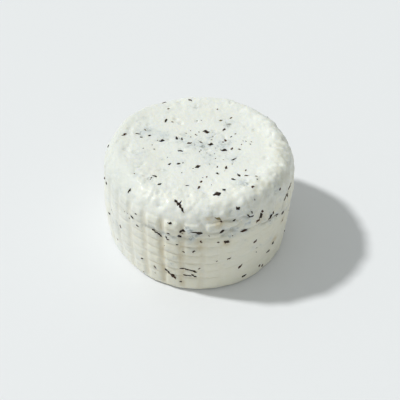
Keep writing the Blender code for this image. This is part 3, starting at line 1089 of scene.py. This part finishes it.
def buried_tone(wheel, mould, place):
    """Where truffle shows through the skin: in smudges on the top, and in a band along the seam."""
    if place.z > 60.0 * MM:
        return max(bell((place.xy - Vector((x, y)) * MM).length, reach * MM) for x, y, reach in TOP_SMUDGES)
    if on_wall(wheel, place):
        band = 0.7 * bell(seam_off(place) - BURIED_RISE, BURIED_REACH) * seam_strength(bearing_of(place))
        return max(band, 1.35 * nearness(wheel, place, WALL_SMUDGES))
    return 0.0


def keep_tones(piece, wheel, mould, places):
    """Keeps what the skin's colour depends on, as attributes."""
    tones = {
        "groove": groove_tone,
        "wall": wall_tone,
        "crease": crease_painted_shade_tone,
        "buried": buried_tone,
        "left_painted_shade": left_painted_shade_tone,
        "hollow_painted_shade": hollow_painted_shade_tone,
    }
    for name, tone_of in tones.items():
        marks = piece.data.attributes.new(name, "FLOAT", "POINT")
        marks.data.foreach_set("value", [tone_of(wheel, mould, place) for place in places])


class CACIOTTA_OT_press(Operator):
    """Turns the wheel, presses the basket mould's marks into its wall and gives it its skin"""

    bl_idname = "caciotta.press"
    bl_label = "Press the Cheese"
    bl_options = {"REGISTER", "UNDO"}

    def execute(self, context):
        wheel = context.scene.caciotta_wheel
        mould = context.scene.caciotta_mould
        piece = turn_wheel(wheel, mould.ribs * mould.points_per_rib)
        places = press_mould(piece, wheel, mould)
        settle(piece, wheel, mould, places)
        roughen(piece)
        rest_on_table(piece, places)
        keep_tones(piece, wheel, mould, places)
        piece.vertex_groups.clear()
        only(piece)
        bpy.ops.object.shade_smooth()
        piece.data.materials.clear()
        piece.data.materials.append(skin_material(context.scene.caciotta_skin))
        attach(piece, "root")
        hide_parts("cheese")
        return {"FINISHED"}


# ---------------------------------------------------------------- truffle

# How far out the search for the skin starts, and how much of the skin round a chip gives its slope
AIM_FROM = 67.0 * MM
FORM_REACH = 1.6 * MM

# A shard is made uneven, ragged along one side and narrower towards its ends
UNEVEN = 0.05
RAGGED = 0.3
TAPER = 0.45

# The crooks of the models that are copied: a few bold ones with more points, and a few small ones
BOLD_CROOKS = (0.0, 0.2, -0.16, 0.1, -0.24)
SMALL_CROOKS = (0.0, 0.16, -0.2)

# Tints go from 0, black, to 1: the palest that is drawn for a bold chip, and for a small one or a bit
BOLD_TINT = 0.25
SMALL_TINT = 0.8
BIT_SINK = 0.15 * MM

# A shred's links overlap by this factor, and are this thick at the ends
LINK_OVERLAP = 1.45
SHRED_END = 0.7

# The specks: their lengths, widths and tints, how deep they sit, and how they are shared out
SPECK_LENGTH = (0.7, 1.7)
SPECK_WIDTH = (0.5, 0.9)
SPECK_TINT = (0.3, 1.0)
SPECK_SINK = 0.05 * MM
SPECK_HEIGHTS = (4.0, 66.0)
SPECKS_ON_TOP = 0.4
SPECKS_ON_SEAM = 0.6
SPECK_SPREAD = 20.0
SPECK_SEAM_SPREAD = 3.0


def chip_size(rng, spread):
    return rng.uniform(*CHIP_LENGTH), rng.uniform(*CHIP_WIDTH), rng.gauss(0.0, spread)


def clear_of(here, taken):
    return all((here - other).length > CHIP_CLEARANCE for other in taken)


def more_on_top(wheel, rng):
    """Places and sizes of the smaller chips on the top."""
    taken = [Vector((x, y)) for x, y, _, _, _ in TOP_CHIPS]
    bits = []
    while len(bits) < MORE_ON_TOP:
        here = Vector((rng.gauss(MIDDLE[0], MIDDLE_SPREAD), rng.gauss(MIDDLE[1], MIDDLE_SPREAD)))
        if here.length < wheel.top_radius / MM - RIM_MARGIN and clear_of(here, taken):
            taken.append(here)
            bits.append((here.x, here.y, *chip_size(rng, TURN_ON_TOP)))
    return bits


def more_on_wall(wheel, rng):
    """Bearings, heights and sizes of the smaller chips round the sides and back of the wall."""
    taken = [unrolled(wheel, bearing, height * MM) / MM for bearing, height, _, _, _ in WALL_CHIPS]
    bits = []
    while len(bits) < MORE_ON_WALL:
        bearing = rng.uniform(*MORE_BEARINGS)
        height = rng.uniform(*MORE_HEIGHTS)
        if rng.random() < SHARE_ON_SEAM:
            height = seam_height(bearing) / MM + rng.gauss(0.0, SEAM_SPREAD)
        here = unrolled(wheel, bearing, height * MM) / MM
        if clear_of(here, taken):
            taken.append(here)
            bits.append((bearing, height, *chip_size(rng, TURN_ON_WALL)))
    return bits


def shard(name, points, crook, seed):
    """A shard of truffle one unit long: a ball made uneven in edit mode, with a ragged side and a crook."""
    rng = random.Random(seed)
    start_clean()
    bpy.ops.mesh.primitive_ico_sphere_add(subdivisions=points, radius=0.5, location=(0.0, 0.0, 0.0))
    piece = bpy.context.object
    piece.name = piece.data.name = name
    bpy.ops.object.mode_set(mode="EDIT")
    bpy.ops.mesh.select_all(action="SELECT")
    bpy.ops.transform.vertex_random(offset=UNEVEN, uniform=0.6, normal=0.4, seed=seed)
    bpy.ops.object.mode_set(mode="OBJECT")
    phase, waves = rng.uniform(0.0, 6.0), rng.uniform(4.0, 8.0)
    for vert in piece.data.vertices:
        x, y, z = vert.co
        y *= 1.0 + RAGGED * math.sin(waves * x + phase) - TAPER * abs(2.0 * x) ** 1.5
        y += crook * math.sin(2.2 * math.pi * x) + 0.1 * noise.noise(Vector((4.0 * x, 4.0 * y, seed)))
        vert.co = Vector((x, y, z))
    return piece


def skin_under(skin, where):
    """The skin's mean direction round a point, so that a chip lies on the form and not on one small bump."""
    total = Vector((0.0, 0.0, 0.0))
    for _, normal, _, _ in skin.find_nearest_range(where, FORM_REACH):
        total += normal
    return total.normalized()


def lay_shard(model, skin, aim, size, thickness, sink, tint):
    """A copy of a shard, laid on the skin where a line going inward meets it."""
    place, inward, level = aim
    length, width, turn = size
    where, _, _, _ = skin.ray_cast(place - inward * AIM_FROM, inward)
    normal = skin_under(skin, where)
    level = (level - normal * level.dot(normal)).normalized()
    upright = Matrix((level, normal.cross(level), normal)).transposed()
    spin = Matrix.Rotation(math.radians(turn), 3, "Z")
    stretch = Matrix.Diagonal((length * MM, width * MM, thickness, 1.0))
    mesh = model.data.copy()
    mesh.transform(Matrix.Translation(where - normal * sink) @ (upright @ spin).to_4x4() @ stretch)
    marks = mesh.attributes.new("tint", "FLOAT", "POINT")
    marks.data.foreach_set("value", [tint] * len(mesh.vertices))
    piece = bpy.data.objects.new(model.name, mesh)
    bpy.context.scene.collection.objects.link(piece)
    return piece


def top_aim(wheel, x, y):
    """Where to look for the top's skin at x and y in millimetres, which way, and which way is level there."""
    return Vector((x * MM, y * MM, wheel.height)), Vector((0.0, 0.0, -1.0)), Vector((1.0, 0.0, 0.0))


def wall_aim(wheel, bearing, height):
    """The same for the wall, at a bearing and a height in millimetres."""
    turn = math.radians(bearing)
    up = height * MM
    place = outward_at(bearing) * turned_radius(wheel, up) + Vector((0.0, 0.0, up))
    heart = Vector((0.0, 0.0, min(up, wheel.widest_height)))
    return place, (heart - place).normalized(), Vector((math.cos(turn), math.sin(turn), 0.0))


def gather(name, pieces):
    """Joins the copies into one piece."""
    start_clean()
    for piece in pieces:
        piece.select_set(True)
    bpy.context.view_layer.objects.active = pieces[0]
    bpy.ops.object.join()
    whole = bpy.context.object
    whole.name = whole.data.name = name
    bpy.ops.object.shade_smooth()
    return whole


def skin_tree():
    depsgraph = bpy.context.evaluated_depsgraph_get()
    return BVHTree.FromObject(bpy.data.objects["caciotta"], depsgraph)


def lay_bits(tools, models, bits, aim_at, palest, sink=0.0):
    """Lays a shard for each bit. A bit is its place, as aim_at takes it, then its length, width and turn."""
    rng, skin, wheel, truffle = tools
    laid = []
    for first, second, *size in bits:
        drawn = rng.uniform(0.0, palest)
        tint = PALE_BITS.get((round(first, 1), round(second, 1)), drawn)
        model = rng.choice(models)
        laid.append(lay_shard(model, skin, aim_at(wheel, first, second), size, truffle.thickness, sink, tint))
    return laid


def lay_shred(tools, models, width, tint, bends):
    """A long shred: one link from bend to bend, each overlapping the next, thinner at both ends."""
    rng, skin, wheel, truffle = tools
    laid = []
    links = len(bends) - 1
    for i, (start, end) in enumerate(zip(bends, bends[1:])):
        aim = wall_aim(wheel, 0.5 * (start[0] + end[0]), 0.5 * (start[1] + end[1]))
        step = wall_aim(wheel, *end)[0] - wall_aim(wheel, *start)[0]
        run = step.dot(aim[2])
        rise = math.copysign(math.sqrt(max(0.0, step.length_squared - run * run)), step.z)
        swell = SHRED_END + (1.0 - SHRED_END) * math.sin(math.pi * (i + 0.5) / links)
        full = width * swell * rng.uniform(0.85, 1.2)
        size = (LINK_OVERLAP * step.length / MM, full, math.degrees(math.atan2(rise, run)))
        shade = max(0.0, tint + rng.uniform(-0.1, 0.15))
        laid.append(lay_shard(rng.choice(models), skin, aim, size, truffle.thickness, 0.0, shade))
    return laid


def finish_truffle(name, laid, models, material):
    """Joins what was laid into one piece, clears the models away and puts the piece on the cheese."""
    piece = gather(name, laid)
    for model in models:
        bpy.data.objects.remove(model)
    piece.data.materials.append(material)
    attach(piece, "root")


class CACIOTTA_OT_chips(Operator):
    """Lays the chips and shreds of truffle on the skin"""

    bl_idname = "caciotta.chips"
    bl_label = "Lay the Truffle Chips"
    bl_options = {"REGISTER", "UNDO"}

    def execute(self, context):
        wheel = context.scene.caciotta_wheel
        truffle = context.scene.caciotta_truffle
        skin = skin_tree()
        rng = random.Random(SEED + 3)
        tools = (rng, skin, wheel, truffle)
        bold = [shard(f"bold_{i}", 3, crook, i) for i, crook in enumerate(BOLD_CROOKS)]
        small = [shard(f"small_{i}", 2, crook, 10 + i) for i, crook in enumerate(SMALL_CROOKS)]
        laid = lay_bits(tools, bold, TOP_CHIPS, top_aim, BOLD_TINT)
        laid += lay_bits(tools, bold, WALL_CHIPS, wall_aim, BOLD_TINT)
        laid += lay_bits(tools, small, more_on_top(wheel, random.Random(TOP_SEED)), top_aim, SMALL_TINT)
        laid += lay_bits(tools, small, more_on_wall(wheel, random.Random(SEED + 2)), wall_aim, SMALL_TINT)
        laid += lay_bits(tools, small, TOP_BITS, top_aim, SMALL_TINT, BIT_SINK)
        laid += lay_bits(tools, small, WALL_BITS, wall_aim, SMALL_TINT, BIT_SINK)
        for width, tint, bends in SHREDS:
            laid += lay_shred(tools, small, width, tint, bends)
        finish_truffle("truffle_chips", laid, bold + small, truffle_material(truffle))
        return {"FINISHED"}


class CACIOTTA_OT_specks(Operator):
    """Scatters fine specks of truffle over the skin"""

    bl_idname = "caciotta.specks"
    bl_label = "Scatter the Specks"
    bl_options = {"REGISTER", "UNDO"}

    def execute(self, context):
        wheel = context.scene.caciotta_wheel
        truffle = context.scene.caciotta_truffle
        skin = skin_tree()
        rng = random.Random(SEED + 4)
        models = [shard(f"speck_{i}", 1, 0.0, 20 + i) for i in range(3)]
        thickness = 0.5 * truffle.thickness
        laid = []
        for _ in range(truffle.specks):
            size = (rng.uniform(*SPECK_LENGTH), rng.uniform(*SPECK_WIDTH), rng.uniform(-90.0, 90.0))
            tint = rng.uniform(*SPECK_TINT)
            if rng.random() < SPECKS_ON_TOP:
                x, y = (rng.gauss(middle, SPECK_SPREAD) for middle in MIDDLE)
                if math.hypot(x, y) * MM > wheel.top_radius:
                    continue
                aim = top_aim(wheel, x, y)
            else:
                bearing = rng.uniform(-180.0, 180.0)
                height = rng.uniform(*SPECK_HEIGHTS)
                if rng.random() < SPECKS_ON_SEAM:
                    height = seam_height(bearing) / MM + rng.gauss(0.0, SPECK_SEAM_SPREAD)
                aim = wall_aim(wheel, bearing, height)
            laid.append(lay_shard(rng.choice(models), skin, aim, size, thickness, SPECK_SINK, tint))
        finish_truffle("truffle_specks", laid, models, bpy.data.materials["truffle"])
        return {"FINISHED"}


# ---------------------------------------------------------------- materials


class Nodes:
    """A short way to add and join a material's nodes."""

    def __init__(self, material):
        material.use_nodes = True
        self.tree = material.node_tree
        self.shader = self.tree.nodes["Principled BSDF"]

    def add(self, kind, **values):
        node = self.tree.nodes.new(kind)
        for name, value in values.items():
            setattr(node, name, value)
        return node

    def join(self, source, target):
        self.tree.links.new(source, target)

    def mark(self, name):
        return self.add("ShaderNodeAttribute", attribute_name=name).outputs["Fac"]

    def noise(self, place, scale, detail=3.0, roughness=0.55, distortion=0.0):
        node = self.add("ShaderNodeTexNoise")
        numbers = {"Scale": scale, "Detail": detail, "Roughness": roughness, "Distortion": distortion}
        for name, number in numbers.items():
            node.inputs[name].default_value = number
        self.join(place, node.inputs["Vector"])
        return node.outputs["Fac"]

    def cells(self, place, scale):
        node = self.add("ShaderNodeTexVoronoi")
        node.inputs["Scale"].default_value = scale
        self.join(place, node.inputs["Vector"])
        return node.outputs["Distance"]

    def span(self, value, low, high, to_low=0.0, to_high=1.0):
        node = self.add("ShaderNodeMapRange", interpolation_type="SMOOTHSTEP")
        for name, number in (("From Min", low), ("From Max", high), ("To Min", to_low), ("To Max", to_high)):
            node.inputs[name].default_value = number
        self.join(value, node.inputs["Value"])
        return node.outputs["Result"]

    def math(self, operation, first, second):
        node = self.add("ShaderNodeMath", operation=operation)
        for socket, value in zip(node.inputs, (first, second)):
            if isinstance(value, (int, float)):
                socket.default_value = value
            else:
                self.join(value, socket)
        return node.outputs["Value"]

    def blend(self, share, first, second):
        node = self.add("ShaderNodeMix", data_type="RGBA")
        for name, value in (("Factor", share), ("A", first), ("B", second)):
            sockets = [s for s in node.inputs if s.name == name and s.enabled]
            if isinstance(value, tuple):
                sockets[0].default_value = (*value, 1.0)
            else:
                self.join(value, sockets[0])
        return [s for s in node.outputs if s.enabled][0]

    def bump(self, height, depth, strength, below=None):
        node = self.add("ShaderNodeBump")
        node.inputs["Distance"].default_value = depth
        node.inputs["Strength"].default_value = strength
        self.join(height, node.inputs["Height"])
        if below is not None:
            self.join(below, node.inputs["Normal"])
        return node.outputs["Normal"]


def skin_colour(n, place, skin):
    """White on top, yellower on the wall, tan in the grooves, grey where truffle lies under the skin, and
    painted shade in the seam, the folds, the hollows and round the left shoulder.
    """
    patches = n.span(n.noise(place, 60.0), 0.35, 0.65, -0.15, 0.15)
    colour = n.blend(n.math("ADD", n.mark("wall"), patches), tuple(skin.top), tuple(skin.wall))
    streaks = n.span(n.noise(place, 180.0), 0.3, 0.7, 0.35, 1.0)
    colour = n.blend(n.math("MULTIPLY", n.mark("groove"), streaks), colour, tuple(skin.groove))
    # Painted shade on the left shoulder
    colour = n.blend(n.math("MULTIPLY", n.mark("left_painted_shade"), 0.62), colour, tuple(skin.left_painted_shade))
    # Painted shade, tan and grey, in the hollows of the right shoulder
    low = n.math("MULTIPLY", n.mark("hollow_painted_shade"), n.math("MULTIPLY", streaks, 0.55))
    colour = n.blend(low, colour, tuple(skin.hollow_painted_shade))

    soft = n.span(n.noise(place, 170.0, 2.0, 0.5, 0.5), 0.42, 0.68)
    cloud = n.math("MAXIMUM", n.mark("buried"), n.span(n.noise(place, 90.0, 1.0), 0.60, 0.72, 0.0, 0.5))
    colour = n.blend(n.math("MULTIPLY", cloud, n.span(soft, 0.0, 1.0, 0.25, 0.75)), colour, tuple(skin.veil))
    mottle = n.math("MULTIPLY", n.span(n.noise(place, 330.0, 3.0, 0.6, 0.8), 0.50, 0.68), 0.8)
    under = n.math("MULTIPLY", n.math("MULTIPLY", cloud, n.math("ADD", soft, 0.35)), mottle)
    colour = n.blend(under, colour, tuple(skin.buried))
    # Painted shade in the seam and the folds
    return n.blend(n.math("MULTIPLY", n.mark("crease"), 0.5), colour, tuple(skin.crease))


def skin_material(skin):
    """The moist, slightly translucent skin, finely grained and pitted."""
    material = bpy.data.materials.new("skin")
    n = Nodes(material)
    place = n.add("ShaderNodeTexCoord").outputs["Object"]
    n.join(skin_colour(n, place, skin), n.shader.inputs["Base Color"])
    gloss = n.span(n.noise(place, 420.0), 0.3, 0.7, skin.roughness - 0.10, skin.roughness + 0.12)
    n.join(gloss, n.shader.inputs["Roughness"])
    grain = n.bump(n.noise(place, 700.0, 4.0, 0.6), 0.35 * MM, 0.6)
    pits = n.span(n.cells(place, 520.0), 0.0, 0.22)
    n.join(n.bump(pits, 0.3 * MM, 0.35, grain), n.shader.inputs["Normal"])
    finish = {
        "Subsurface Weight": 0.5,
        "Subsurface Radius": (1.0, 0.9, 0.7),
        "Subsurface Scale": 2.0 * MM,
        "Coat Weight": 0.12,
        "Coat Roughness": 0.16,
        "IOR": 1.38,
    }
    for name, value in finish.items():
        n.shader.inputs[name].default_value = value
    return material


def truffle_material(truffle):
    """Black to brown flesh, and a few paler chips, by each chip's own tint."""
    material = bpy.data.materials.new("truffle")
    n = Nodes(material)
    place = n.add("ShaderNodeTexCoord").outputs["Object"]
    tint = n.mark("tint")
    colour = n.blend(n.span(tint, 0.15, 0.75), tuple(truffle.black), tuple(truffle.brown))
    colour = n.blend(n.span(tint, 0.82, 0.98), colour, tuple(truffle.olive))
    flesh = n.span(n.noise(place, 1400.0), 0.35, 0.7, 0.0, 0.35)
    n.join(n.blend(flesh, colour, tuple(truffle.brown)), n.shader.inputs["Base Color"])
    n.join(n.bump(n.noise(place, 1800.0, 2.0), 0.2 * MM, 0.6), n.shader.inputs["Normal"])
    n.join(n.span(n.noise(place, 900.0), 0.3, 0.7, 0.5, 0.8), n.shader.inputs["Roughness"])
    n.shader.inputs["Specular IOR Level"].default_value = 0.25
    return material


def floor_material(stage):
    material = bpy.data.materials.new("floor")
    n = Nodes(material)
    n.shader.inputs["Base Color"].default_value = (*stage.floor, 1.0)
    n.shader.inputs["Roughness"].default_value = 0.7
    return material


# ---------------------------------------------------------------- stage

FLOOR_SIZE = 6.0
KEY_PLACE = (-0.5, 0.07, 0.64)
KEY_TRAVEL = (51.0, -7.0, -64.0)
KEY_COLOUR = (0.985, 1.0, 0.985)
SKY_COLOUR = (0.955, 1.0, 0.965, 1.0)
CAMERA_TARGET = (1.345 * MM, 0.0, 24.592 * MM)
SENSOR_WIDTH = 36.0
NEAREST_SEEN = 10.0 * MM


class CACIOTTA_OT_stage(Operator):
    """Puts a pale floor under the cheese, lights it softly from the left and sets the camera"""

    bl_idname = "caciotta.stage"
    bl_label = "Set the Stage"
    bl_options = {"REGISTER", "UNDO"}

    def execute(self, context):
        stage = context.scene.caciotta_stage
        start_clean()
        bpy.ops.mesh.primitive_plane_add(size=FLOOR_SIZE, location=(0.0, 0.0, 0.0))
        floor = context.object
        floor.name = "floor"
        floor.data.materials.append(floor_material(stage))

        bpy.ops.object.light_add(type="SUN", location=KEY_PLACE)
        key = context.object
        key.name = "key"
        key.data.energy = stage.key
        key.data.angle = stage.key_angle
        key.data.color = KEY_COLOUR
        key.rotation_mode = "QUATERNION"
        key.rotation_quaternion = Vector(KEY_TRAVEL).normalized().to_track_quat("-Z", "Y")

        world = bpy.data.worlds.new("studio")
        world.use_nodes = True
        sky = world.node_tree.nodes["Background"]
        sky.inputs["Color"].default_value = SKY_COLOUR
        sky.inputs["Strength"].default_value = stage.fill
        context.scene.world = world

        back = Vector((0.0, -math.cos(stage.elevation), math.sin(stage.elevation)))
        bpy.ops.object.camera_add(location=Vector(CAMERA_TARGET) + back * stage.distance)
        camera = context.object
        camera.data.lens = stage.lens
        camera.data.sensor_width = SENSOR_WIDTH
        camera.data.clip_start = NEAREST_SEEN
        camera.rotation_mode = "QUATERNION"
        camera.rotation_quaternion = (-back).to_track_quat("-Z", "Y")
        context.scene.camera = camera
        context.scene.view_settings.view_transform = "Standard"
        return {"FINISHED"}


# ---------------------------------------------------------------- panel


class CACIOTTA_PT_panel(Panel):
    bl_idname = "CACIOTTA_PT_panel"
    bl_label = "Truffle Caciotta"
    bl_space_type = "VIEW_3D"
    bl_region_type = "UI"
    bl_category = "Caciotta"

    def draw(self, context):
        scene = context.scene
        steps = (
            (scene.caciotta_wheel, None),
            (scene.caciotta_mould, None),
            (scene.caciotta_skin, "caciotta.press"),
            (scene.caciotta_truffle, "caciotta.chips"),
            (None, "caciotta.specks"),
            (scene.caciotta_stage, "caciotta.stage"),
        )
        for settings, operator in steps:
            box = self.layout.box()
            if settings is not None:
                for name in settings.__annotations__:
                    box.prop(settings, name)
            if operator is not None:
                box.operator(operator)


CLASSES = (
    WheelSettings,
    MouldSettings,
    SkinSettings,
    TruffleSettings,
    StageSettings,
    CACIOTTA_OT_press,
    CACIOTTA_OT_chips,
    CACIOTTA_OT_specks,
    CACIOTTA_OT_stage,
    CACIOTTA_PT_panel,
)

SETTINGS = {
    "caciotta_wheel": WheelSettings,
    "caciotta_mould": MouldSettings,
    "caciotta_skin": SkinSettings,
    "caciotta_truffle": TruffleSettings,
    "caciotta_stage": StageSettings,
}


def register():
    for cls in CLASSES:
        bpy.utils.register_class(cls)
    for name, settings in SETTINGS.items():
        setattr(bpy.types.Scene, name, PointerProperty(type=settings))


def unregister():
    for name in SETTINGS:
        delattr(bpy.types.Scene, name)
    for cls in reversed(CLASSES):
        bpy.utils.unregister_class(cls)


def main():
    register()
    bpy.ops.caciotta.stage()
    bpy.ops.caciotta.press()
    bpy.ops.caciotta.chips()
    bpy.ops.caciotta.specks()


if __name__ == "__main__":
    main()
